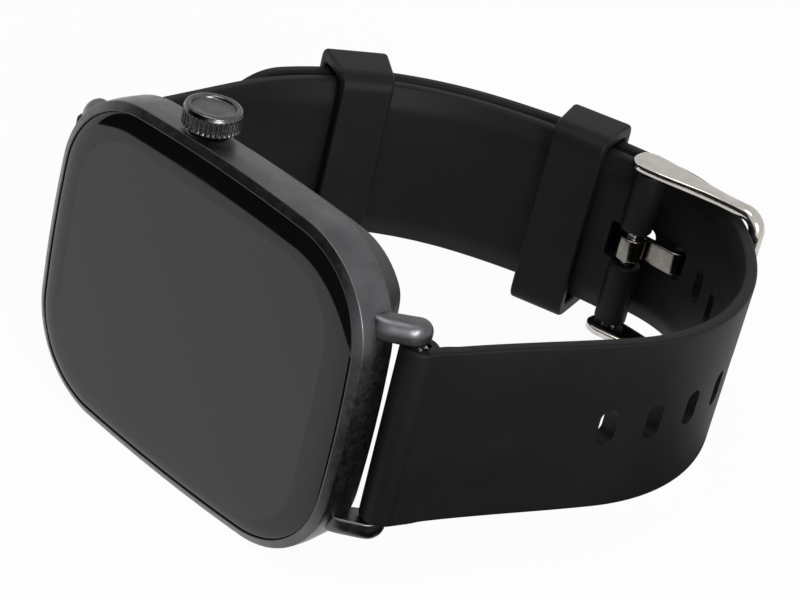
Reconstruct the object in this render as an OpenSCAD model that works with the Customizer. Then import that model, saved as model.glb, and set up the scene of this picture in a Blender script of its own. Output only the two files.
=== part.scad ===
// Smartwatch with its strap buckled into a loop.
// +X points to the 6 o'clock end of the case, -Y is the way the display faces, and +Z is the
// crown's side. The origin is the centre of the sensor window on the case's back. Millimetres.

/* [Case] */
// Length of the case from its 12 o'clock end to its 6 o'clock end
case_l = 48.4; // [46:0.2:60]
// Width of the case without the crown
case_w = 39.6; // [36:0.2:48]
// Thickness of the case, from the glass to the sensor window
case_t = 11; // [10.6:0.1:13.2]
// Radius of the case's corners
corner_r = 12; // [10:0.5:15]
// Depth of the metal band around the case
band_t = 4.2; // [3.8:0.1:5.2]
// Wall thickness of the metal band
band_wall = 1.7; // [1.4:0.1:2.1]

/* [Display] */
// Width of the bevelled rim around the glass
rim_w = 1.05; // [0.8:0.05:1.3]
// Thickness of the cover glass
glass_t = 1.3; // [1.1:0.1:1.6]
// Thickness of the display panel
panel_t = 0.8; // [0.7:0.1:1]

/* [Crown] */
// Radius of the crown
crown_r = 3.2; // [2.6:0.1:3.8]
// Height of the knurled cap
crown_h = 2.5; // [2:0.1:3]
// Distance of the crown's axis from the middle of the case, towards 12 o'clock
crown_x = 5.5; // [3:0.5:7]
// Travel of the crown when it is pressed
crown_travel = 0.45; // [0.3:0.05:0.5]

/* [Lugs] */
// Gap between a pair of lugs, which is the strap width that fits
lug_gap = 22; // [20:0.5:26.5]
// Width of one lug
lug_w = 2.4; // [2:0.1:3]
// Distance of a spring bar's axis beyond the end of the case
bar_reach = 2; // [1.9:0.1:2.6]

/* [Strap] */
// Width of the strap at the case
strap_case_w = 21.4; // [19:0.2:21.4]
// Width of the strap at the buckle and the tail
strap_w = 20.6; // [17:0.2:21.4]
// Thickness of the strap
strap_t = 2.4; // [2:0.1:2.8]
// Radius of the tube that holds a spring bar
tube_r = 2.1; // [1.8:0.1:2.2]
// Distance between neighbouring buckle holes
hole_pitch = 5.85; // [5.5:0.05:7.2]
// Number of buckle holes
hole_count = 14; // [10:1:14]
// Which hole the tang is in, counted from the case
tang_hole = 9; // [8:1:9]

/* [Loop] */
// Radius of the loop where the tail lies on the short half
tail_arc_r = 34; // [30:1:40]
// Radius of the loop next to the buckle
flat_arc_r = 65; // [58:1:78]
// Radius of the bend inside the buckle
bend_r = 14; // [12:0.5:16]
// Radius of the loop on the 6 o'clock side
long_arc_r = 31; // [28:1:35]
// Width of a keeper, along the strap
keeper_w = 7.4; // [6.2:0.1:9.6]

/* [Buckle] */
// Distance between the buckle's spring bar and its outer bar
buckle_l = 15.3; // [14.5:0.1:16.5]
// Thickness of each side of the buckle
rail_t = 1.3; // [1:0.1:1.6]
// Width of the tang
tang_w = 3; // [2.5:0.1:3.6]

/* [Hidden] */
$fn = 96;
hull_fn = 32;
rim_rise = 0.5;                     // how far the bevelled rim stands in front of the band
glass_rise = 0.8;                   // how far the glass stands in front of the band
sensor_rise = 0.7;                  // how far the sensor window stands behind the back cover
play = 0.3;                         // gap between soft pieces that don't hold each other
strap_wide = min(strap_case_w, lug_gap - 2 * play);  // width at the case, always clear of the lugs
front_y = glass_rise - case_t;      // front edge of the metal band
rear_y = front_y + band_t;          // rear edge of the metal band
back_y = -sensor_rise;              // outer face of the back cover
half_l = case_l / 2;
half_w = case_w / 2;
glass_seat_y = front_y + glass_t - glass_rise;
gasket_t = 0.2;
ledge_y = glass_seat_y + gasket_t;  // face that the display's gasket sticks to
ledge_t = 0.6;
ledge_in = rim_w + 1.9;             // how far the ledge reaches in from the case's outline
panel_in = ledge_in + 0.6;
bracket_y = glass_seat_y + panel_t; // plate behind the display
bracket_t = 0.3;
board_y = bracket_y + bracket_t;
board_t = 0.8;
board_x = case_l - 18;
board_z = case_w - 16;
parts_y = board_y + board_t;        // face of the board that carries the battery and chips
cover_wall = 1.2;
sensor_board_t = 0.7;
cell_t = back_y - cover_wall - sensor_board_t - 0.4 - parts_y;
cell_x = 17;
cell_z = 19;
cell_off = 9.5;
fit = 0.02;                         // radial clearance of what is pressed or glued in
boss_r = 1.7;
boss_in = 6.9;                      // distance of a corner post from the case's sides
boss_x = half_l - boss_in;
boss_z = half_w - boss_in;
boss_y = board_y + 0.1;
screw_r = 0.6;
screw_head_r = 1.1;
sensor_r = 9;
sensor_hole_r = 7.2;
contact_r = 1;
contact_x = 3;
contact_z = -(half_w - 7.6);

crown_y = front_y + band_t * 0.66;  // crown's axis
crown_top = half_w + 0.85 + crown_h;
crown_seat = half_w + 0.25;         // top of the boss that the crown stands on
boss_out_r = crown_r * 0.8;
stem_r = 0.8;
stem_in = half_w - 5.2;             // inner end of the crown's stem
seal_z = half_w - 0.9;

bar_x = half_l + bar_reach;         // spring bars at the lugs
bar_y = front_y + band_t + 1.7;
bar_hole_r = 1.1;
bar_tube_r = 0.85;
bar_bore_r = 0.72;
tip_r = 0.5;
tip_hole_r = 0.55;
tip_travel = 1.1;
tip_reach = 1.05;                   // how far a tip stands in the hole of its lug or rail
collar_r = 0.66;
collar_t = 0.7;
rail_gap = strap_wide / 2 + 0.1;  // inner face of the buckle's sides

chamfer_w = 2.6;                    // bevel along the strap's inner edges
chamfer_t = 1;
sink = 0.06;                        // how far the strap's outer face lies below its tube's
flush = tube_r - strap_t / 2 - sink;

// The loop's arcs run clockwise from the tail. A heading h is the direction of travel, so a
// point on an arc is centre + r * [-sin(h), cos(h)].
flat_from = 30;                     // heading where the tail's arc meets the flatter arc
bend_from = 9;                      // heading where the flatter arc meets the buckle's bend
long_from = -30;                    // heading where the buckle's bend meets the long arc
tip_from = 75;                      // heading where the tail starts to round off
buckle_at = 10.2;                   // heading of the buckle's spring bar
keeper_front_at = 59.3;
keeper_rear_at = 19;
half_gap = play / 2;
facet = 3;                          // largest turn between two stations of the strap

function on_arc(c, r, h) = c + r * [-sin(h), cos(h)];
function next_centre(c, r, r_next, h) = on_arc(c, r - r_next, h);
function arc_len(r, a) = r * a * PI / 180;
function arc_angle(r, s) = s * 180 / (PI * r);

tail_c = [tail_arc_r - half_gap - bar_x - tube_r + sink, front_y + 28.6];
flat_c = next_centre(tail_c, tail_arc_r, flat_arc_r, flat_from);
outer_off = half_gap + strap_t / 2; // from the line between the two halves to a half's middle
long_tail_r = tail_arc_r + outer_off;
long_flat_r = flat_arc_r + outer_off;
short_tail_r = tail_arc_r - outer_off;
short_flat_r = flat_arc_r - outer_off;
bend_c = next_centre(flat_c, long_flat_r, bend_r, bend_from);
long_c = next_centre(bend_c, bend_r, long_arc_r, long_from);

// Line that touches the long arc and passes the 6 o'clock spring bar at the flush distance
long_bar = [bar_x, bar_y];
to_long = long_c - long_bar;
to_long_d = norm(to_long);
line_angle = atan2(to_long[1], to_long[0]) - asin((long_arc_r - flush) / to_long_d);
line_len = sqrt(to_long_d * to_long_d - pow(long_arc_r - flush, 2));
line_out = line_angle - 90;         // outward direction along the straight stretch
long_to = line_angle - 180;         // heading of the straight stretch, from the tail to the case
line_top = long_c + long_arc_r * [cos(line_out), sin(line_out)];

buckle_tube_r = tube_r - 0.1;
buckle_pin_r = short_flat_r + strap_t / 2 - buckle_tube_r - sink;
buckle_bar = on_arc(flat_c, buckle_pin_r, buckle_at);
buckle_angle = 7.4;                 // direction from the spring bar to the outer bar

// Arcs of the long half, from the case to the tail: centre, radius, first and last heading
LONG = [
    [long_c, long_arc_r, long_to, long_from],
    [bend_c, bend_r, long_from, bend_from],
    [flat_c, long_flat_r, bend_from, flat_from],
    [tail_c, long_tail_r, flat_from, 120]
];
function seg_len(g) = arc_len(g[1], g[3] - g[2]);
// Place at a distance along the long half from the start of its arcs: x, y, outward direction
function place(s, i = 0) = s < 0
    ? concat(line_top + s * [cos(line_angle), sin(line_angle)], [line_out])
    : s <= seg_len(LONG[i]) || i == len(LONG) - 1
    ? let (h = LONG[i][2] + arc_angle(LONG[i][1], s))
        concat(on_arc(LONG[i][0], LONG[i][1], h), [h + 90])
    : place(s - seg_len(LONG[i]), i + 1);
hole_h = long_from + 17.3;          // heading of the hole that the tang is in
tang_s = seg_len(LONG[0]) + arc_len(bend_r, hole_h - long_from);
hole_l = 4.4;                       // length of a buckle hole, across the strap
hole_w = 2.3;

// ---- Helpers ----

// Rounded rectangle of half sizes hx and hz
module round_rect(hx, hz, r, n = $fn) {
    square([2 * hx, 2 * (hz - r)], center = true);
    square([2 * (hx - r), 2 * hz], center = true);
    for (sx = [-1, 1], sz = [-1, 1]) {
        translate([sx * (hx - r), sz * (hz - r)]) circle(r, $fn = n);
    }
}

// The case's outline, drawn in by a distance
module outline(inset, n = $fn) {
    round_rect(half_l - inset, half_w - inset, corner_r - inset, n);
}

// Stands a shape drawn in X and Z between two values of Y
module plate(y0, y1) {
    translate([0, y1, 0]) rotate([90, 0, 0]) linear_extrude(y1 - y0) children();
}

// The case's outline, bevelled from one inset at y0 to another at y1
module bevelled(y0, inset0, y1, inset1) {
    hull() {
        plate(y0, y0 + 0.01) outline(inset0, hull_fn);
        plate(y1 - 0.01, y1) outline(inset1, hull_fn);
    }
}

// Round bar along Y
module rod_y(x, z, r, y0, y1) {
    translate([x, y1, z]) rotate([90, 0, 0]) cylinder(r = r, h = y1 - y0);
}

// Round bar along Z
module rod_z(x, y, r, z0, z1) {
    translate([x, y, z0]) cylinder(r = r, h = z1 - z0);
}

// Box from one corner to the other
module box(low, high) {
    translate(low) cube(high - low);
}

// ---- Case ----

// One lug: its front edge slopes back from the case's end to a round tip
module lug_shape() {
    tip_x = bar_x + 0.15;
    polygon([
        [half_l - 4, front_y + 0.6], [half_l - 0.4, front_y + 0.9],
        [tip_x + 1.1, bar_y - 1.35], [tip_x + 1.1, bar_y + 1.2], [half_l - 0.3, rear_y + 1.4],
        [half_l - 0.3, rear_y - 0.1], [half_l - 4, rear_y - 0.1]
    ]);
    translate([tip_x, bar_y]) circle(1.9);
}

module lugs() {
    for (side = [0, 1], z0 = [lug_gap / 2, -lug_gap / 2 - lug_w]) {
        mirror([side, 0, 0]) translate([0, 0, z0]) linear_extrude(lug_w) lug_shape();
    }
}

module case_band() {
    color("#4b4c50") difference() {
        union() {
            plate(front_y, rear_y) outline(0);
            bevelled(front_y - rim_rise, rim_w, front_y + 0.01, 0);
            lugs();
            rod_z(-crown_x, crown_y, boss_out_r, half_w - 0.6, crown_seat);
        }
        plate(front_y - 1, ledge_y) outline(rim_w + 0.05);
        plate(glass_seat_y, ledge_y + ledge_t + 0.01) outline(ledge_in);
        difference() {
            plate(ledge_y + ledge_t, rear_y + 5) outline(band_wall);
            screw_posts();
        }
        rod_z(-crown_x, crown_y, stem_r + 0.35, half_w - 4, crown_seat + 1);
        for (x = [-bar_x, bar_x], s = [0, 1]) mirror([0, 0, s]) {
            rod_z(x, bar_y, tip_hole_r, lug_gap / 2 - 1, lug_gap / 2 + tip_reach + 0.3);
        }
        at_corners() rod_y(boss_x, boss_z, screw_r + fit, boss_y + 0.4, rear_y + 1);
    }
}

// Repeats a shape at the four corners
module at_corners() {
    for (sx = [0, 1], sz = [0, 1]) mirror([sx, 0, 0]) mirror([0, 0, sz]) children();
}

// Corner posts that take the back cover's screws, each on a rib to the wall
module screw_posts() {
    reach = norm([boss_in, boss_in]) - (sqrt(2) - 1) * corner_r;
    at_corners() {
        rod_y(boss_x, boss_z, boss_r, boss_y, rear_y);
        translate([boss_x, 0, boss_z]) rotate([0, -45, 0])
            box([0, boss_y, -0.8], [reach, rear_y, 0.8]);
    }
}

module cover_glass() {
    color("#0b0c0d", 0.9) {
        union() {
            plate(front_y, glass_seat_y) outline(rim_w + 0.1);
            bevelled(front_y - glass_rise, rim_w + 1.1, front_y + 0.01, rim_w + 0.1);
        }
    }
}

module front_gasket() {
    color("#202020") plate(glass_seat_y, ledge_y) difference() {
        outline(rim_w + 0.4);
        outline(ledge_in - 0.2);
    }
}

module display_panel() {
    color("#38383a") plate(glass_seat_y, bracket_y) outline(panel_in);
}

module display_bracket() {
    color("#8a8c90") plate(bracket_y, bracket_y + bracket_t) outline(panel_in);
}

module main_board() {
    color("#1f5c3a") {
        box([-board_x / 2, board_y, -board_z / 2], [board_x / 2, parts_y, board_z / 2]);
        box([-8, parts_y, -6], [-0.5, parts_y + 0.9, 2]);
        box([-14.5, parts_y, -9], [-10, parts_y + 0.8, -3]);
    }
}

module battery() {
    color("#b9bcc0") box([cell_off - cell_x / 2, parts_y, -cell_z / 2],
        [cell_off + cell_x / 2, parts_y + cell_t, cell_z / 2]);
}

module vibration_motor() {
    color("#c2c4c8") rod_y(-10.8, 7.4, 4, parts_y, parts_y + 2.6);
}

module crown_encoder() {
    color("#2a2a2c") difference() {
        box([-crown_x - 2.6, board_y, stem_in - 2.2], [-crown_x + 2.6, crown_y + 1.5, stem_in + 1.6]);
        rod_z(-crown_x, crown_y, stem_r + 0.06, stem_in - crown_travel - 0.4, stem_in + 3);
    }
}

module crown_stem() {
    groove = 0.25;
    color("#9a9ca0") {
        rod_z(-crown_x, crown_y, stem_r, stem_in, seal_z - 0.3);
        rod_z(-crown_x, crown_y, stem_r - groove, seal_z - 0.4, seal_z + 0.4);
        rod_z(-crown_x, crown_y, stem_r, seal_z + 0.3, crown_top - 0.9);
    }
}

module crown_seal() {
    color("#151515") translate([-crown_x, crown_y, seal_z]) difference() {
        cylinder(r = stem_r + 0.3, h = 0.56, center = true);
        cylinder(r = stem_r - 0.25 + fit, h = 2, center = true);
    }
}

// Knurled cap with a raised rim around a sunken disc
module crown_cap() {
    teeth = 36;
    groove_r = 0.16;
    color("#55565a") difference() {
        translate([-crown_x, crown_y, crown_top - crown_h]) rotate_extrude() polygon([
            [0, 0.25], [crown_r - 0.5, 0], [crown_r, 0.3], [crown_r, crown_h - 0.45],
            [crown_r - 0.35, crown_h], [crown_r - 0.75, crown_h],
            [crown_r - 0.95, crown_h - 0.3], [0, crown_h - 0.3]
        ]);
        for (i = [0 : teeth - 1]) {
            translate([-crown_x, crown_y, 0]) rotate([0, 0, i * 360 / teeth])
                rod_z(crown_r, 0, groove_r, crown_top - crown_h - 1, crown_top - 0.5);
        }
        rod_z(-crown_x, crown_y, stem_r + fit, crown_top - crown_h - 1, crown_top - 0.9);
    }
}

module back_cover() {
    slope = 3.2;
    color("#17181a") difference() {
        union() {
            plate(rear_y, rear_y + 0.8) outline(0.7);
            bevelled(rear_y + 0.79, 0.7, back_y, slope);
        }
        bevelled(rear_y - 0.5, 0.7 + cover_wall * 1.6, back_y - cover_wall, slope + cover_wall);
        plate(rear_y - 0.5, rear_y + 0.5) difference() {
            outline(1.1);
            outline(1.5);
        }
        rod_y(0, 0, sensor_hole_r, back_y - 3, back_y + 1);
        rod_y(0, 0, sensor_r + fit, back_y - 0.5, back_y + 1);
        for (s = [-1, 1]) rod_y(s * contact_x, contact_z, contact_r + fit, back_y - 3, back_y + 1);
        at_corners() rod_y(boss_x, boss_z, screw_head_r + 0.1, back_y - 1.1, back_y + 2);
        at_corners() rod_y(boss_x, boss_z, screw_r + 0.1, back_y - 3, back_y + 2);
    }
    color("#17181a") at_corners() difference() {
        rod_y(boss_x, boss_z, boss_r, rear_y, back_y - 1.1);
        rod_y(boss_x, boss_z, screw_r + 0.1, rear_y - 1, back_y);
    }
}

module back_gasket() {
    color("#202020") plate(rear_y, rear_y + 0.5) difference() {
        outline(1.1);
        outline(1.5);
    }
}

module back_screws() {
    color("#a7a9ad") at_corners() difference() {
        union() {
            rod_y(boss_x, boss_z, screw_r, boss_y + 0.6, back_y - 0.6);
            rod_y(boss_x, boss_z, screw_head_r, back_y - 1.1, back_y - 0.5);
        }
        translate([boss_x, back_y - 0.5, boss_z]) cube([1.6, 0.5, 0.3], center = true);
    }
}

module sensor_window() {
    color("#0d0e12") {
        rod_y(0, 0, sensor_r, back_y - 0.5, -0.2);
        rod_y(0, 0, sensor_r - 0.8, -0.21, 0);
    }
}

module sensor_board() {
    color("#1f5c3a") rod_y(0, 0, sensor_hole_r + 0.8, back_y - cover_wall - sensor_board_t,
        back_y - cover_wall);
}

module sensor_lights() {
    color("#9fd6a8") for (a = [0 : 90 : 270]) {
        x = 3.6 * cos(a);
        z = 3.6 * sin(a);
        box([x - 0.8, back_y - cover_wall, z - 0.8], [x + 0.8, back_y - 0.6, z + 0.8]);
    }
}

module charging_contacts() {
    color("#d8b45a") for (s = [-1, 1]) {
        rod_y(s * contact_x, contact_z, contact_r, back_y - cover_wall, back_y + 0.1);
    }
}

// ---- Spring bars ----
// Each is a tube with a sprung tip at both ends. "half" is half the gap that it spans.

module bar_tube(at, half) {
    color("#c9cacd") difference() {
        rod_z(at[0], at[1], bar_tube_r, -half + 0.6, half - 0.6);
        rod_z(at[0], at[1], bar_bore_r, -half + 1, half - 1);
        rod_z(at[0], at[1], tip_hole_r, -half, half);
    }
}

module bar_spring(at, half) {
    end = half - 1.1 - tip_travel - collar_t;
    color("#b0b2b6") difference() {
        rod_z(at[0], at[1], collar_r, -end, end);
        rod_z(at[0], at[1], collar_r - 0.3, -end - 1, end + 1);
    }
}

module bar_tip(at, half, side) {
    color("#d5d6d8") mirror([0, 0, side < 0 ? 1 : 0]) {
        rod_z(at[0], at[1], collar_r, half - 1 - 0.05 - collar_t, half - 1 - 0.05);
        rod_z(at[0], at[1], tip_r, half - 1.1, half + tip_reach);
    }
}

bar12_at = [-bar_x, bar_y];
bar6_at = [bar_x, bar_y];
lug_half = lug_gap / 2;

module bar12_tube() { bar_tube(bar12_at, lug_half); }
module bar12_spring() { bar_spring(bar12_at, lug_half); }
module bar12_tip_crown() { bar_tip(bar12_at, lug_half, 1); }
module bar12_tip_far() { bar_tip(bar12_at, lug_half, -1); }
module bar6_tube() { bar_tube(bar6_at, lug_half); }
module bar6_spring() { bar_spring(bar6_at, lug_half); }
module bar6_tip_crown() { bar_tip(bar6_at, lug_half, 1); }
module bar6_tip_far() { bar_tip(bar6_at, lug_half, -1); }
module buckle_bar_tube() { bar_tube(buckle_bar, rail_gap); }
module buckle_bar_spring() { bar_spring(buckle_bar, rail_gap); }
module buckle_bar_tip_crown() { bar_tip(buckle_bar, rail_gap, 1); }
module buckle_bar_tip_far() { bar_tip(buckle_bar, rail_gap, -1); }

// ---- Strap ----

// One end of a length of strap: flat outside, bevelled along both edges inside.
// p is its place and outward direction, and w is half its width there.
function rim(p, w) = let (a = strap_t / 2, c = min(chamfer_w, w / 2))
    [for (q = [[-a, c - w], [-a, w - c], [chamfer_t - a, w], [a, w], [a, -w], [chamfer_t - a, -w]])
        [p[0] + q[0] * cos(p[2]), p[1] + q[0] * sin(p[2]), q[1]]];

// Skin through a row of rims that all have six points
module skin(rims) {
    n = len(rims);
    sides = [for (i = [0 : n - 2], k = [0 : 5])
        [6 * i + k, 6 * i + 6 + k, 6 * i + 6 + (k + 1) % 6, 6 * i + (k + 1) % 6]];
    polyhedron(
        points = [for (r = rims) each r],
        faces = concat(sides, [[0, 1, 2, 3, 4, 5]], [[for (k = [1 : 6]) 6 * n - k]])
    );
}

// Stations along an arc, as place and outward direction
function arc_places(c, r, h0, h1) = let (n = ceil(abs(h1 - h0) / facet))
    [for (i = [1 : n]) let (h = h0 + (h1 - h0) * i / n) concat(on_arc(c, r, h), [h + 90])];

// Sweeps a section along an arc between two headings
module sweep(c, h0, h1) {
    translate([c[0], c[1], 0]) rotate([0, 0, h0 + 90]) rotate_extrude(angle = h1 - h0, $fn = 180)
        children();
}

// One buckle hole, cut straight through the strap
module hole(p) {
    cut = strap_t * 2;
    translate([p[0], p[1], 0]) rotate([0, 0, p[2]]) rotate([0, 90, 0])
        translate([0, 0, -cut / 2]) linear_extrude(cut) {
            for (s = [-1, 1]) translate([s * (hole_l - hole_w) / 2, 0]) circle(d = hole_w, $fn = 32);
            square([hole_l - hole_w, hole_w], center = true);
        }
}

module strap_long() {
    half_case = strap_wide / 2;
    half_tail = strap_w / 2;
    start = concat(line_top - line_len * [cos(line_angle), sin(line_angle)], [line_out]);
    path = concat(
        [start, concat(line_top, [line_out])],
        arc_places(long_c, long_arc_r, long_to, long_from),
        arc_places(bend_c, bend_r, long_from, bend_from),
        arc_places(flat_c, long_flat_r, bend_from, flat_from),
        arc_places(tail_c, long_tail_r, flat_from, tip_from)
    );
    n = len(path) - 1;
    tip = [for (t = [10 : 9 : 82]) let (h = tip_from + arc_angle(long_tail_r, half_tail * sin(t)))
        rim(concat(on_arc(tail_c, long_tail_r, h), [h + 90]), half_tail * cos(t))];
    color("#222224") difference() {
        union() {
            rod_z(bar6_at[0], bar6_at[1], tube_r, play - lug_half, lug_half - play);
            skin(concat([for (i = [0 : n]) rim(path[i], half_case + (half_tail - half_case) * i / n)], tip));
        }
        rod_z(bar6_at[0], bar6_at[1], bar_hole_r, -lug_half - 1, lug_half + 1);
        for (i = [1 : hole_count]) hole(place(tang_s + (i - tang_hole) * hole_pitch));
    }
}

module strap_short() {
    notch = tang_w / 2 + 0.9;
    half_case = strap_wide / 2;
    half_end = strap_w / 2;
    end_z = rail_gap - play;
    path = concat(
        [concat(on_arc(flat_c, short_flat_r, buckle_at), [buckle_at + 90])],
        arc_places(flat_c, short_flat_r, buckle_at, flat_from),
        arc_places(tail_c, short_tail_r, flat_from, 90),
        [[-bar_x - flush, bar_y, 180]]
    );
    n = len(path) - 1;
    color("#1c1c1e") difference() {
        union() {
            rod_z(bar12_at[0], bar12_at[1], tube_r, play - lug_half, lug_half - play);
            skin([for (i = [0 : n]) rim(path[i], half_end + (half_case - half_end) * i / n)]);
            rod_z(buckle_bar[0], buckle_bar[1], buckle_tube_r, -end_z, end_z);
        }
        rod_z(bar12_at[0], bar12_at[1], bar_hole_r, -lug_half - 1, lug_half + 1);
        rod_z(buckle_bar[0], buckle_bar[1], bar_hole_r, -lug_half, lug_half);
        translate([buckle_bar[0], buckle_bar[1], 0]) rotate([0, 0, buckle_at])
            box([-4, -6, -notch], [6, 6, notch]);
    }
}

// Band around both halves of the strap, with bevelled corners
module keeper(c, r, at, wall_in, wall_out) {
    wall_z = 1.8;
    turn = arc_angle(r, keeper_w) / 2;
    r0 = r - outer_off - strap_t / 2 - play;
    r1 = r + outer_off + strap_t / 2 + play;
    z1 = strap_wide / 2 + 0.2;
    bevel = 1.3;
    lip = 0.6;
    sweep(c, at - turn, at + turn) difference() {
        polygon([
            [r0 - wall_in, bevel - z1 - wall_z], [r0 - wall_in, z1 + wall_z - bevel],
            [r0 - wall_in + bevel, z1 + wall_z], [r1 + wall_out - lip, z1 + wall_z],
            [r1 + wall_out, z1 + wall_z - lip], [r1 + wall_out, lip - z1 - wall_z],
            [r1 + wall_out - lip, -z1 - wall_z], [r0 - wall_in + bevel, -z1 - wall_z]
        ]);
        translate([r0, -z1]) square([r1 - r0, 2 * z1]);
    }
}

module keeper_front() { color("#242426") keeper(tail_c, tail_arc_r, keeper_front_at, 1.4, 1.4); }
module keeper_rear() { color("#242426") keeper(flat_c, flat_arc_r, keeper_rear_at, 1.4, 1.4); }

// ---- Buckle ----
// Drawn in u and v: u runs from the spring bar to the outer bar and v points outwards.

bar_v = -0.3;                       // outer bar's axis
bar_r = 1.05;
hole_at = place(tang_s);
hole_rel = [hole_at[0], hole_at[1]] - buckle_bar;
hole_u = hole_rel[0] * cos(buckle_angle) + hole_rel[1] * sin(buckle_angle);
hole_v = hole_rel[1] * cos(buckle_angle) - hole_rel[0] * sin(buckle_angle);

module at_buckle() {
    translate([buckle_bar[0], buckle_bar[1], 0]) rotate([0, 0, buckle_angle]) children();
}

// Side of the frame: wide and round at the spring bar, narrow at the outer bar
module rail_shape() {
    steps = 24;
    wide = [-2.95, 1.95];
    narrow = [bar_v - bar_r, bar_v + bar_r];
    function ease(t) = (1 - cos(180 * t)) / 2;
    function edge(k) = [for (i = [0 : steps]) let (t = i / steps)
        [buckle_l * t, wide[k] + (narrow[k] - wide[k]) * ease(min(1, t * 1.25))]];
    low = edge(0);
    high = edge(1);
    polygon(concat(low, [for (i = [0 : steps]) high[steps - i]]));
    translate([0, (wide[0] + wide[1]) / 2]) circle((wide[1] - wide[0]) / 2);
    translate([buckle_l, bar_v]) circle(bar_r);
}

module buckle_frame() {
    color("#d2d0cb") at_buckle() {
        for (s = [0, 1]) mirror([0, 0, s]) difference() {
            translate([0, 0, rail_gap]) linear_extrude(rail_t) rail_shape();
            rod_z(0, 0, tip_hole_r, rail_gap - 1, rail_gap + tip_reach + 0.1);
        }
        rod_z(buckle_l, bar_v, bar_r, -rail_gap - 0.5, rail_gap + 0.5);
    }
}

// Flat strip of thickness t through a list of points
module strip(points, t) {
    for (i = [1 : len(points) - 1]) {
        a = points[i - 1];
        b = points[i];
        translate(a) rotate(atan2(b[1] - a[1], b[0] - a[0]))
            translate([0, -t / 2]) square([norm(b - a), t]);
        translate(b) circle(t / 2);
    }
}

module buckle_tang() {
    t = 0.9;
    ring_r = 1.75;
    plate_v = ring_r - t / 2;
    outside = hole_v + strap_t / 2 + t / 2 + play;
    color("#cfccc6") at_buckle() translate([0, 0, -tang_w / 2]) linear_extrude(tang_w) {
        difference() {
            union() {
                circle(ring_r);
                strip([[0, plate_v], [hole_u - 0.5, plate_v - 0.15], [hole_u + 0.4, outside],
                    [buckle_l + 0.5, bar_v + bar_r + t / 2 + 0.1]], t);
            }
            circle(bar_tube_r + 0.05);
        }
    }
}

case_band();
cover_glass();
front_gasket();
display_panel();
display_bracket();
main_board();
battery();
vibration_motor();
crown_encoder();
crown_stem();
crown_seal();
crown_cap();
back_cover();
back_gasket();
back_screws();
sensor_window();
sensor_board();
sensor_lights();
charging_contacts();
bar12_tube();
bar12_spring();
bar12_tip_crown();
bar12_tip_far();
bar6_tube();
bar6_spring();
bar6_tip_crown();
bar6_tip_far();
buckle_bar_tube();
buckle_bar_spring();
buckle_bar_tip_crown();
buckle_bar_tip_far();
strap_short();
strap_long();
keeper_front();
keeper_rear();
buckle_frame();
buckle_tang();
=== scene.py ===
import math

import bmesh
import bpy
import numpy as np
from mathutils import Matrix, Vector


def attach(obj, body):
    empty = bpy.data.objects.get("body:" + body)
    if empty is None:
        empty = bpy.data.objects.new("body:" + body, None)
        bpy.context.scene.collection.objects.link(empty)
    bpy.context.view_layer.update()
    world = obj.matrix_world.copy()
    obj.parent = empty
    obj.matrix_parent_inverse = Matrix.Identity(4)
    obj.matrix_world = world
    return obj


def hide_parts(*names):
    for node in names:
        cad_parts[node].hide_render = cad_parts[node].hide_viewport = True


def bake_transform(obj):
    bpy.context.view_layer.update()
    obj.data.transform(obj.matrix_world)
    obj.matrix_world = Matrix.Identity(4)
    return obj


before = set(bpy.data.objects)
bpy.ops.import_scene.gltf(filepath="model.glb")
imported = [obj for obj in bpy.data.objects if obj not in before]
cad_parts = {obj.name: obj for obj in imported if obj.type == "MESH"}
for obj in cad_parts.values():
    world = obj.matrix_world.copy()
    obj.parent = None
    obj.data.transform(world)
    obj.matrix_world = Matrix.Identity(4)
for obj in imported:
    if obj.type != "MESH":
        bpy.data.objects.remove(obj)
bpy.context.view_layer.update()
mm = 0.001
scene = bpy.context.scene
scene.view_settings.view_transform = "Standard"

# ---------------------------------------------------------------- case band
# The case's metal band: machined aluminium, bead blasted and anodised dark grey, with a
# polished bevel round the glass. The four lugs are machined from the same block.

HALF_L, HALF_W, CORNER, LEAN = 24.35, 20.05, 11.8, math.radians(3.6)
RIM_Y, BAND_Y, REAR_Y = -10.72, -10.2, -6.0
LUG_IN, LUG_OUT = 11.0, 13.4
MERGE, SLIVER = 2e-6, 1e-7  # metres: points closer than these are one


class Value:
    """A shader socket that does arithmetic: an expression on values adds its Math nodes."""

    def __init__(self, finish, socket):
        self.finish, self.socket = finish, socket

    def _math(self, operation, *inputs):
        return self.finish.node("ShaderNodeMath", {"operation": operation}, *inputs)

    def __add__(self, other): return self._math("ADD", self, other)
    def __radd__(self, other): return self._math("ADD", other, self)
    def __sub__(self, other): return self._math("SUBTRACT", self, other)
    def __rsub__(self, other): return self._math("SUBTRACT", other, self)
    def __mul__(self, other): return self._math("MULTIPLY", self, other)
    def __rmul__(self, other): return self._math("MULTIPLY", other, self)
    def __pow__(self, other): return self._math("POWER", self, other)
    def abs(self): return self._math("ABSOLUTE", self)
    def max(self, other): return self._math("MAXIMUM", self, other)
    def min(self, other): return self._math("MINIMUM", self, other)

    def ramp(self, low, high, start=0.0, end=1.0):
        """Runs smoothly from start to end as the value goes from low to high."""
        return self.finish.node("ShaderNodeMapRange", {"interpolation_type": "SMOOTHSTEP"},
                                self, low, high, start, end)


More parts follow.
